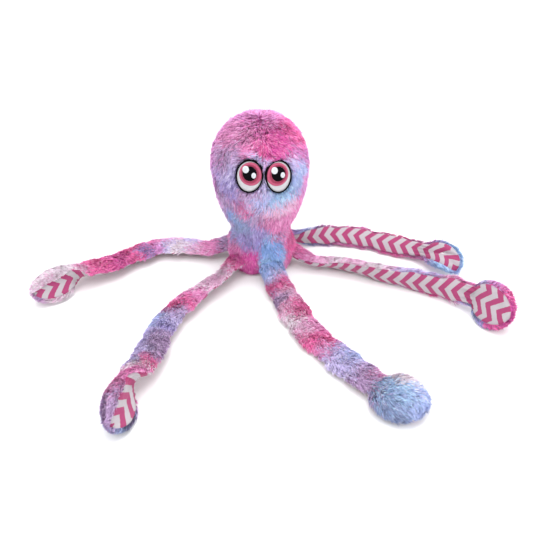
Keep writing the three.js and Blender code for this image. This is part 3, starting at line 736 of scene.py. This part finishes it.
# ---------------------------------------------------------------- legs
def centripetal(points, per_segment=60):
    """The line of a centripetal Catmull-Rom curve through 3-D points, as the legs' middle lines are drawn."""
    p = np.array(points, float)
    ends = np.concatenate([[2 * p[0] - p[1]], p, [2 * p[-1] - p[-2]]])
    line = []
    t = np.linspace(0, 1, per_segment, endpoint=False)[:, None]
    for i in range(1, len(ends) - 2):
        a, b, c, d = ends[i - 1:i + 3]
        before, here, after = (np.linalg.norm(y - x) ** 0.5 for x, y in ((a, b), (b, c), (c, d)))
        start = ((b - a) / before - (c - a) / (before + here) + (c - b) / here) * here
        stop = ((c - b) / here - (d - b) / (here + after) + (d - c) / after) * here
        line.append(b + start * t + (-3 * b + 3 * c - 2 * start - stop) * t ** 2
                    + (2 * b - 2 * c + start + stop) * t ** 3)
    return np.concatenate(line + [p[-1:]])


WAY_STEP = 1.5
FUR_THICK = 5.6
COTTON_THICK = 3.9
PADDLE_COTTON_THICK = 7.0
FUR_ROW = 2.6
COTTON_ROW = 2.2


class Leg:
    """A leg's middle line, its frames and its section."""

    def __init__(self, spec):
        self.spec = spec
        self.name = spec["name"]
        azimuth = math.radians(spec["root"])
        root = (ROOT_RADIUS * math.cos(azimuth), ROOT_RADIUS * math.sin(azimuth), ROOT_HEIGHT)
        self.line = centripetal([root] + spec["route"])
        steps = np.linalg.norm(np.diff(self.line, axis=0), axis=1)
        self.reach = np.concatenate([[0], np.cumsum(steps)])
        self.length = self.reach[-1]
        self.neck = self.length - PADDLE_LENGTH
        self.bend = self.neck * BEND_SHARE

    def place(self, distance):
        return np.stack([np.interp(distance, self.reach, self.line[:, k]) for k in range(3)], -1)

    def frames(self, distance):
        distance = np.asarray(distance, float)
        ahead = np.minimum(distance + WAY_STEP, self.length)
        way = unit(self.place(ahead) - self.place(np.maximum(distance - WAY_STEP, 0)))
        level = unit(np.cross(np.array([0, 0, 1.0]), way))
        rise = np.cross(way, level)
        turn = np.full(distance.shape, float(self.spec["turns"][0][1]))
        for (start, before), (stop, after) in zip(self.spec["turns"], self.spec["turns"][1:]):
            rolled = before + (after - before) * smoothstep(distance, start, stop)
            turn = np.where(distance >= start, rolled, turn)
        turn = np.radians(turn)[..., None]
        side = level * np.cos(turn) + rise * np.sin(turn)
        face = -level * np.sin(turn) + rise * np.cos(turn)
        return self.place(distance), way, side, face

    def half_width(self, distance):
        """Half the width of the skin, without the pile."""
        spec = self.spec
        widened = smoothstep(distance, 8, 80)
        strip = spec["root_width"] + (spec["width"] - spec["root_width"]) * widened
        wobble = (0.9 * np.sin(distance / 7.3 + 1.7 * spec["root"])
                  + 0.7 * np.sin(distance / 3.9 + spec["root"]))
        strip = strip + wobble * smoothstep(distance, 20, 50)
        drawn = smoothstep(distance, self.neck - 22, self.neck + 2)
        strip = strip + (spec["neck"] - strip) * drawn
        middle = (distance - (self.length - PADDLE_ROUNDING)) / PADDLE_ROUNDING
        disc = spec["paddle"] * np.sqrt(np.clip(1 - middle * middle, 0, 1))
        floor = np.where(middle < 0, spec["neck"] * smoothstep(-middle, -0.2, 0.6), 0)
        width = np.where(distance > self.neck, np.maximum(disc, floor), strip)
        return np.maximum(width - LEG_PILE, 0.25)

    def puff(self, distance):
        return smoothstep(distance, self.neck, self.length - PADDLE_ROUNDING)

    def closing(self, distance):
        """1 along the leg, falling to 0 at the very tip."""
        left = np.clip((self.length - distance) / PADDLE_ROUNDING, 0, 1)
        return np.sqrt(np.clip(1 - (1 - left) ** 2, 0, 1))

    def fur_height(self, distance):
        plain = FUR_THICK + self.spec["plump"] + 2.4 * (1 - smoothstep(distance, 6, 40))
        value = plain + (self.spec["fur_height"] - 5 - plain) * self.puff(distance)
        return value * self.closing(distance) + 0.05

    def cotton_height(self, distance):
        value = COTTON_THICK + (PADDLE_COTTON_THICK - COTTON_THICK) * self.puff(distance)
        return value * self.closing(distance) + 0.05

    def section(self, distance, across, up):
        """World points for section coordinates in millimetres, with the paddle's fold."""
        place, _, side, face = self.frames(distance)
        fold = self.spec["fold"] * smoothstep(distance, self.neck - 12, self.length - 34)
        widest = np.maximum(self.half_width(distance), 6.0)
        curve = np.maximum(fold / widest, 1e-5)
        x = (1 / curve + up) * np.sin(curve * across)
        y = (1 / curve + up) * np.cos(curve * across) - 1 / curve
        return place + x[..., None] * side + y[..., None] * face


def wraps(leg, distance):
    """How far the fur rolls over the two edges to the cotton side, in radians of the section."""
    return [most * leg.puff(distance) for most in leg.spec["wraps"]]


def leg_rows(start, stop, step, columns):
    """Distances along the leg in rows, and the share across in columns."""
    rows = max(int((stop - start) / step), 8)
    distance = np.linspace(start, stop, rows)[:, None] + np.zeros((1, columns))
    return distance, np.linspace(0, 1, columns)[None, :]


def fur_grid(leg, start, stop, columns=17):
    """Distances, places across and points of the fur side."""
    distance, share = leg_rows(start, stop, FUR_ROW, columns)
    over, under = wraps(leg, distance)
    angle = -over + (math.pi + over + under) * share
    width, height = leg.half_width(distance), leg.fur_height(distance)
    low = leg.cotton_height(distance) * 0.8
    across = width * np.sign(np.cos(angle)) * np.abs(np.cos(angle)) ** 0.85
    up = np.where(np.sin(angle) >= 0, height * np.abs(np.sin(angle)) ** 0.8, -low * np.abs(np.sin(angle)))
    points = leg.section(distance, across, up)
    _, _, _, face = leg.frames(distance)
    rough = soft_noise(points, 17, 31) * 0.7
    pleat = bell(distance - leg.neck - 4, 12) * np.sin(across * 1.5) * 1.1
    points = points + face * ((rough + pleat) * np.clip(np.sin(angle), 0, 1))[..., None]
    return distance, across, points


def cotton_grid(leg, start, stop, columns=19):
    """The same for the cotton side, with its gathers, puckers and crease."""
    distance, share = leg_rows(start, stop, COTTON_ROW, columns)
    angle = math.pi * share
    over, under = wraps(leg, distance)
    over = over + (under - over) * smoothstep(share, 0.3, 0.7)
    width, depth = leg.half_width(distance), leg.cotton_height(distance)
    edge = width * np.cos(over) ** 0.85
    rim = -depth * 0.8 * np.sin(over)
    across = edge * np.cos(angle)
    bulge = (depth + rim) * np.sin(angle) ** 0.75
    up = rim - bulge
    groove = leg.puff(distance) * 1.6 * bell(edge - np.abs(across), 2.2) * np.sin(angle)
    scallop = 0.55 * np.sin(distance * 2 * math.pi / 11.5) * np.abs(np.cos(angle)) ** 3 * np.sin(angle)
    fan = bell(distance - leg.neck - 5, 12) * np.sin(across * 1.35 + 0.6) * 1.5
    turned_in = bell(across * 0.9 + (distance - leg.neck - 26) * 0.5, 2.6) * leg.puff(distance)
    rough = soft_noise(np.stack([distance, across, 0 * across], -1), 22, 41) * 0.55
    up = up + (groove + scallop + (fan + rough) * np.sin(angle) ** 0.5)
    up = up + leg.spec["crease"] * turned_in * np.sin(angle)
    points = leg.section(distance, across, up)
    return distance, across, points

# Distance along the leg, place across it, radius and dye.
LEG_DYES = {
    "leg_a": """
    0 0 12 mauve, 30 0 14 pink, 42 8 9 pale_pink, 58 -4 11 lilac, 66 6 10 blush, 78 -6 9 pale_pink,
    84 6 8 lilac, 98 -4 10 pink, 102 9 7 orchid, 112 -2 9 hot_pink, 120 5 8 violet, 124 -8 10 hot_pink,
    140 4 12 hot_pink, 160 0 12 magenta, 180 4 13 hot_pink, 198 0 11 hot_pink, 212 0 9 pale_pink,
    224 0 10 blush, 238 14 12 blush, 240 -14 12 blush, 256 0 12 pale_pink, 264 12 10 blush, 272 -6 10 mauve
""",
    "leg_b": """
    0 0 12 magenta, 14 0 11 hot_pink, 26 4 9 pale_pink, 40 -4 11 blush, 56 4 11 pale_pink, 70 -4 11 blush,
    82 6 9 pink, 92 -4 9 pink, 104 2 10 hot_pink, 114 -6 8 hot_pink, 114 9 7 mauve, 124 2 8 mauve,
    134 4 10 lilac, 140 -8 9 periwinkle, 150 6 9 violet, 156 -6 9 lilac, 166 6 9 mauve, 174 -8 9 lilac,
    182 6 9 mauve, 194 -6 9 lilac, 202 8 8 mauve, 216 8 8 hot_pink, 216 -8 8 lilac, 228 0 10 blush,
    240 6 10 pink, 240 -10 10 rose, 252 12 12 pink, 256 -4 9 rose, 268 12 11 rose, 284 14 9 mauve,
    278 -6 9 sky, 268 -14 9 mauve, 291 -8 10 slate, 298 6 9 mauve, 286 -19 9 dusk
""",
    "leg_c": """
    0 0 12 blue, 12 0 10 periwinkle, 22 0 9 lilac, 32 4 8 hot_pink, 42 -3 9 hot_pink, 52 4 8 pale_pink,
    60 -8 9 mauve, 66 6 9 pale_pink, 78 6 10 hot_pink, 86 -8 9 pale_pink, 94 6 10 hot_pink, 104 -6 9 blush,
    112 8 9 pink, 122 -2 10 pale_pink, 132 8 8 pink, 144 -2 11 hot_pink, 154 9 8 hot_pink, 158 -8 8 pink,
    170 3 10 lilac, 184 -6 10 lilac, 188 8 9 periwinkle, 200 0 10 lilac, 212 0 10 mauve, 226 -6 9 mauve,
    228 8 9 rose, 238 14 9 blush, 240 -14 10 mauve, 244 -5 8 sky, 260 -8 12 sky, 278 9 8 periwinkle,
    250 14 13 blush, 266 17 13 blush, 272 -3 10 sky, 266 -20 11 slate, 284 -8 10 periwinkle,
    287 9 9 periwinkle
""",
    "leg_d": """
    0 0 12 hot_pink, 16 0 11 pink, 30 0 9 pink, 44 0 11 pale_pink, 66 4 12 blush, 90 0 13 pale_pink,
    112 -4 12 blush, 132 4 12 pale_pink, 152 -6 11 lilac, 160 8 10 pink, 180 6 11 hot_pink, 182 -8 10 lilac,
    204 0 12 pale_pink, 222 -6 10 pink, 226 10 9 lilac, 238 22 10 slate, 250 24 10 slate, 264 22 9 violet,
    274 17 9 hot_pink, 286 6 12 magenta, 284 -8 12 magenta, 272 -20 11 hot_pink, 258 -24 9 orchid,
    244 -22 10 lilac, 258 0 14 magenta
""",
    "leg_e": """
    0 0 12 magenta, 20 0 10 violet, 36 0 12 periwinkle, 56 0 11 mauve, 76 0 12 rose, 100 0 14 pink,
    126 0 14 rose, 152 0 14 hot_pink, 178 0 13 rose, 200 0 11 orchid, 216 0 11 periwinkle, 234 10 13 sky,
    238 -10 13 sky, 262 0 15 periwinkle, 280 0 12 lilac
""",
}


PILE_LENGTH = 6.2
POMPON_PILE_LENGTH = 8.2
ROOT_SPAN = (2.0, 26.0)
BEND_REACH = 20.0
CURL_REACH = 12.0


def make_leg(spec, number):
    """The fur and cotton pieces of a leg. Each crosses one joint and ends half way along a part."""
    leg = Leg(spec)
    name = leg.name
    upper_middle = leg.bend * 0.5
    lower_middle = (leg.bend + leg.neck) * 0.5
    pieces = [
        ("near", 1.0, upper_middle, ("root", "upper"), ROOT_SPAN),
        ("middle", upper_middle, lower_middle, ("upper", "lower"),
         (leg.bend - BEND_REACH, leg.bend + BEND_REACH)),
        ("far", lower_middle, leg.length - 0.05, ("lower", "paddle"),
         (leg.neck - CURL_REACH, leg.neck + CURL_REACH)),
    ]
    spots = [((d, a, 0), r, dye) for d, a, r, dye in read_spots(LEG_DYES[name])]
    neck_point = leg.place(leg.neck)
    for index, (word, start, stop, bodies, span) in enumerate(pieces):
        distance, across, points = fur_grid(leg, start, stop)
        middle = leg.place(distance)
        patch = Patch(points, points - middle + 1e-6)
        flat = np.stack([distance, across, 0 * across], -1)

        def leg_dye(p, u, v, rng, patch=patch, flat=flat):
            where = patch.at(u, v, flat) + noise_vectors(p, 22, 60) * 3 * FLAT
            return pick_dyes(where + rng.normal(0, LEG_BLUR, where.shape), spots, rng)

        way = leg.frames(distance)[1]

        def leg_comb(p, u, v, patch=patch, way=way, middle=middle, distance=distance):
            along = patch.at(u, v, way)
            outward = unit(p - patch.at(u, v, middle))
            from_neck = unit(p - neck_point)
            reached = patch.at(u, v, distance[..., None])[:, 0]
            share = smoothstep(reached, leg.neck + 6, leg.neck + 24)[:, None]
            return along * (1 - share) + from_neck * share + outward * 0.3

        pompon = name == "leg_c" and word == "far"
        fur = grow_fur(patch, 200 + 10 * number + index, DENSITY * 0.95,
                       POMPON_PILE_LENGTH if pompon else PILE_LENGTH, leg_comb, leg_dye,
                       lean=(38, 70), tuft=6, tuft_radius=1.7, gather=0.28)
        rng = np.random.default_rng(300 + 10 * number + index)
        rows, columns = np.meshgrid(np.arange(patch.rows), np.arange(patch.columns), indexing="ij")
        skin = leg_dye(points.reshape(-1, 3), rows.ravel().astype(float), columns.ravel().astype(float), rng)
        piece = fur_piece(f"{name}_{word}_fur", patch, fur, skin)
        nodes = [part if part == "root" else f"{part}_fur" for part in bodies]
        hand_over_skin(piece, leg, span, nodes)
        distance, across, points = cotton_grid(leg, start, stop)
        patch = Patch(points, points - leg.place(distance) + 1e-6)
        points[..., 2] = np.maximum(points[..., 2], FLOOR_CLEARANCE)
        uv = np.stack([distance, across], -1).reshape(-1, 2) * 0.01 / spec["print"]
        piece = build_mesh(f"{name}_{word}_cotton", points.reshape(-1, 3), patch.quads(), [], [COTTON], uv=uv)
        nodes = [f"{part}_cotton" for part in bodies if part != "root"]
        hand_over_skin(piece, leg, span, nodes)
    return leg


def hand_over_skin(piece, leg, span, nodes):
    """Bakes a leg's piece into place and hides the CAD nodes that it stands for. The ends of span, its
    distances along the leg, are worked out but not used.
    """
    start, end = (tuple(float(c) * 0.001 for c in leg.place(distance)) for distance in span)
    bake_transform(piece)
    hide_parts(*[f"{leg.name}_{node}" for node in nodes])


LEG_LINES = [make_leg(spec, number) for number, spec in enumerate(LEGS)]


# ---------------------------------------------------------------- filling, inside the bag and the paddles
def fibre_material():
    material = plain_material("fibre_filling", (0.86, 0.86, 0.85), roughness=0.95, sheen=0.3, specular=0.1)
    nodes = Nodes(material)
    nodes.bump(nodes.noise(Scale=900.0, Detail=4.0), strength=0.6, distance=0.001)
    return material


FIBRE = fibre_material()


def closed_grid(name, points):
    """A closed body from a grid whose columns meet and whose end rows are closed by fans."""
    rows, columns = points.shape[:2]
    index = np.arange(rows * columns).reshape(rows, columns)
    following = np.roll(index, -1, axis=1)
    quads = np.stack([index[:-1], index[1:], following[1:], following[:-1]], -1).reshape(-1, 4)
    vertices = np.concatenate([points.reshape(-1, 3), [points[0].mean(0), points[-1].mean(0)]])
    low, high = rows * columns, rows * columns + 1
    fans = [(index[0, j], following[0, j], low) for j in range(columns)]
    fans += [(following[-1, j], index[-1, j], high) for j in range(columns)]
    return build_mesh(name, vertices, quads, fans, [FIBRE])


FILLING_GAP = 2.6
FILLING_FLOOR = 4.5
azimuths = np.linspace(0, 360, 33)[:-1]
inner = HEAD_PROFILE[6:-3:3]
radius, height = inner[:, 0][:, None] - FILLING_GAP, inner[:, 1][:, None]
bag = head_point(azimuths[None, :] + 0 * radius, radius, height + 0 * azimuths[None, :])
bag = bag * (1 + 0.012 * soft_noise(bag, 20, 8))[..., None] * np.array([1, 1, 0.985])
bag[..., 2] = np.maximum(bag[..., 2], FILLING_FLOOR)
hand_over(closed_grid("body_fibre", bag), "body", "body_filling")

for leg in LEG_LINES:
    distance = np.linspace(leg.neck + 18, leg.length - 6, 12)[:, None] + np.zeros((1, 16))
    angle = np.linspace(0, 2 * math.pi, 17)[None, :-1]
    ends = np.sin(math.pi * (distance - leg.neck - 17) / (leg.length - leg.neck - 22)) ** 0.5
    across = (leg.half_width(distance) - 3.5) * np.cos(angle) * ends * 0.9
    up = np.where(np.sin(angle) > 0, leg.fur_height(distance) - 1.5, leg.cotton_height(distance) - 2.2)
    pad = leg.section(distance, across, up * np.sin(angle) * ends * 0.85)
    hand_over(closed_grid(f"{leg.name}_fibre", pad), f"{leg.name}_paddle", f"{leg.name}_paddle_filling")


# ---------------------------------------------------------------- eyes
def thread_material(name, colour, stitches, roughness=0.45, specular=0.35, inner=None):
    """Satin stitch: fine ridges across the band. inner is the colour towards its inner edge, if another."""
    material = plain_material(name, colour, roughness, specular=specular)
    nodes = Nodes(material)
    _, around, inwards = nodes.cloth_map()
    ridge = nodes.math("SINE", nodes.math("MULTIPLY", around, 2 * math.pi * stitches))
    uneven = nodes.math("ADD", nodes.math("MULTIPLY", nodes.noise(Scale=300.0), 0.25), 0.83)
    # The ridges also darken the colour in the grooves between stitches, as painted shade; the noise is uneven
    # thread.
    shade = nodes.math("ADD", nodes.math("MULTIPLY", ridge, 0.08), uneven)
    if inner is not None:
        share = nodes.math("SUBTRACT", nodes.math("MULTIPLY", inwards, 3.2), 1.1)
        colour = nodes.mixed(nodes.clamped(share), colour, inner)
    nodes.tint(colour, shade)
    nodes.bump(ridge, strength=0.5, distance=0.0003)
    return material


BLACK_THREAD = thread_material("black_thread", (0.003, 0.002, 0.004), 160, roughness=0.7, specular=0.05)
WHITE_THREAD = thread_material("white_thread", (0.58, 0.58, 0.61), 60)
ROSE_THREAD = thread_material("rose_thread", (0.52, 0.085, 0.175), 110, inner=(0.30, 0.025, 0.075))
SHINE_THREAD = thread_material("shine_thread", (0.66, 0.69, 0.73), 14)
STITCH_ROUNDING = 0.45
# Place of each highlight from the pupil's middle, and its half width and half height.
LARGE_SHINE = (-4.4, 4.7, 3.7, 4.0)
SMALL_SHINE = (4.7, -1.7, 2.6, 3.3)


def dome(x, y):
    """How far the head falls away from the eye's plane."""
    return -(x * x / 2 + y * y / 2.3) / HEAD_RADIUS


def oval(x, y, half_width, half_height):
    return lambda angle: (x + half_width * np.cos(angle), y + half_height * np.sin(angle))


def within(eye, shape):
    """The shape, cut off where it would run under the border."""
    def cut(angle):
        x, y = shape(angle)
        share = eye.share(x, y)
        most = 1 - (EYE_BORDER + 0.05) / EYE_HALF_WIDTH
        pull = np.minimum(most / share, 1)
        return x * pull, y * pull
    return cut


def eye_sheet(name, node, outer, inner, thick, level, material, rings=7, steps=72):
    """A raised band of stitches between two outlines, or a disc of them where inner is a point."""
    angle = np.linspace(0, 2 * math.pi, steps + 1)
    disc = isinstance(inner, tuple)
    ox, oy = outer(angle)
    ix, iy = oval(*inner, 0.02, 0.02)(angle) if disc else inner(angle)
    shares = np.linspace(0, 1, rings)
    rows = [eye.world(ox, oy, dome(ox, oy) + level - thick)]
    for s in shares:
        x, y = ox + (ix - ox) * s, oy + (iy - oy) * s
        crown = math.sin(math.pi / 2 * s) if disc else math.sin(math.pi * s)
        z = dome(x, y) + level + STITCH_ROUNDING * (crown ** 0.5 - 1 if crown > 0 else -1)
        rows.append(eye.world(x, y, z))
    rows.append(eye.world(ix, iy, dome(ix, iy) + level - thick))
    points = np.stack(rows)
    across = np.concatenate([[-0.1], shares, [1.1]])[:, None]
    uv = np.stack([angle / (2 * math.pi) + 0 * across, 0 * angle + across], -1)
    piece = build_mesh(f"eye_{word}_{name}_stitch", points.reshape(-1, 3), grid_quads(*points.shape[:2]), [],
                       [material], uv=uv.reshape(-1, 2))
    # The CAD's materials hold the plain names, so Blender adds a number to the names of these.
    hand_over(piece, "body", f"eye_{word}_{node}")


for word, eye in EYES.items():
    gaze = -eye.side * PUPIL_INWARD
    middle = (gaze, PUPIL_UP)
    iris = oval(-eye.side * IRIS_INWARD, IRIS_UP, *IRIS_HALF)
    eye_sheet("border", "outline", partial(eye.outline, inset=0.25), partial(eye.outline, inset=EYE_BORDER),
              4.0, EYE_LEVEL + 0.5, BLACK_THREAD, steps=120)
    eye_sheet("white", "white", partial(eye.outline, inset=EYE_BORDER - 0.3), middle, 3.0, EYE_LEVEL - 0.35,
              WHITE_THREAD, rings=12)
    eye_sheet("iris", "iris", within(eye, iris), oval(*middle, PUPIL_HALF[0] + 0.1, PUPIL_HALF[1] + 0.1), 1.2,
              EYE_LEVEL + 0.2, ROSE_THREAD, steps=96)
    eye_sheet("pupil", "pupil", oval(*middle, *PUPIL_HALF), middle, 1.2, EYE_LEVEL + 0.2, BLACK_THREAD,
              rings=9)
    for size, (x, y, half_width, half_height) in (("large", LARGE_SHINE), ("small", SMALL_SHINE)):
        place = (gaze + x, PUPIL_UP + y)
        eye_sheet(f"shine_{size}", f"highlight_{size}", oval(*place, half_width, half_height), place, 1.0,
                  EYE_LEVEL + 0.7, SHINE_THREAD, steps=32)


# ---------------------------------------------------------------- camera, floor and light
CAMERA_DISTANCE = 0.9
CAMERA_ELEVATION = 35.0
FOCAL_PIXELS = 693.0
FRAME_PIXELS = 550.0
AIM_RIGHT = 0.0176
AIM_DOWN = 0.0208
SENSOR_WIDTH = 36.0
FLOOR_REACH = 6000.0


def aim(thing, place, target):
    way = np.array(target, float) - np.array(place, float)
    thing.location = place
    thing.rotation_mode = "QUATERNION"
    thing.rotation_quaternion = Vector(way).to_track_quat("-Z", "Y")


camera = bpy.data.objects.new("camera", bpy.data.cameras.new("camera"))
bpy.context.scene.collection.objects.link(camera)
bpy.context.scene.camera = camera
camera.data.sensor_width = SENSOR_WIDTH
camera.data.lens = SENSOR_WIDTH * FOCAL_PIXELS / FRAME_PIXELS
camera.data.clip_start, camera.data.clip_end = 0.01, 50.0
tilt = math.radians(CAMERA_ELEVATION)
eye_point = (0, -CAMERA_DISTANCE * math.cos(tilt), CAMERA_DISTANCE * math.sin(tilt))
down = np.array([0, -math.sin(tilt), -math.cos(tilt)])
aim(camera, eye_point, np.array([AIM_RIGHT, 0, 0]) + down * AIM_DOWN)

floor_material = plain_material("floor_paper", (0.93, 0.93, 0.93), roughness=0.9, specular=0.1)
corners = np.array([[-1, -1, 0], [1, -1, 0], [1, 1, 0], [-1, 1, 0]]) * FLOOR_REACH
floor = build_mesh("floor", corners, [(0, 1, 2, 3)], [], [floor_material])

world = bpy.data.worlds.new("soft_studio")
bpy.context.scene.world = world
world.use_nodes = True
background = next(n for n in world.node_tree.nodes if n.type == "BACKGROUND")
background.inputs[0].default_value = (1, 1, 1, 1)
background.inputs[1].default_value = 0.95


def softbox(name, place, target, size, power):
    light = bpy.data.lights.new(name, "AREA")
    light.shape = "SQUARE"
    light.size = size
    light.energy = power
    lamp = bpy.data.objects.new(name, light)
    bpy.context.scene.collection.objects.link(lamp)
    aim(lamp, place, target)


softbox("key", (-0.4, -1.0, 1.7), (0, -0.05, 0.05), size=0.9, power=11.0)
softbox("fill", (1.2, -0.9, 0.9), (0, 0, 0.05), size=1.2, power=6.0)
softbox("top", (0.2, 0.1, 1.9), (0, -0.1, 0), size=1.4, power=21.0)
bpy.context.scene.view_settings.view_transform = "Standard"
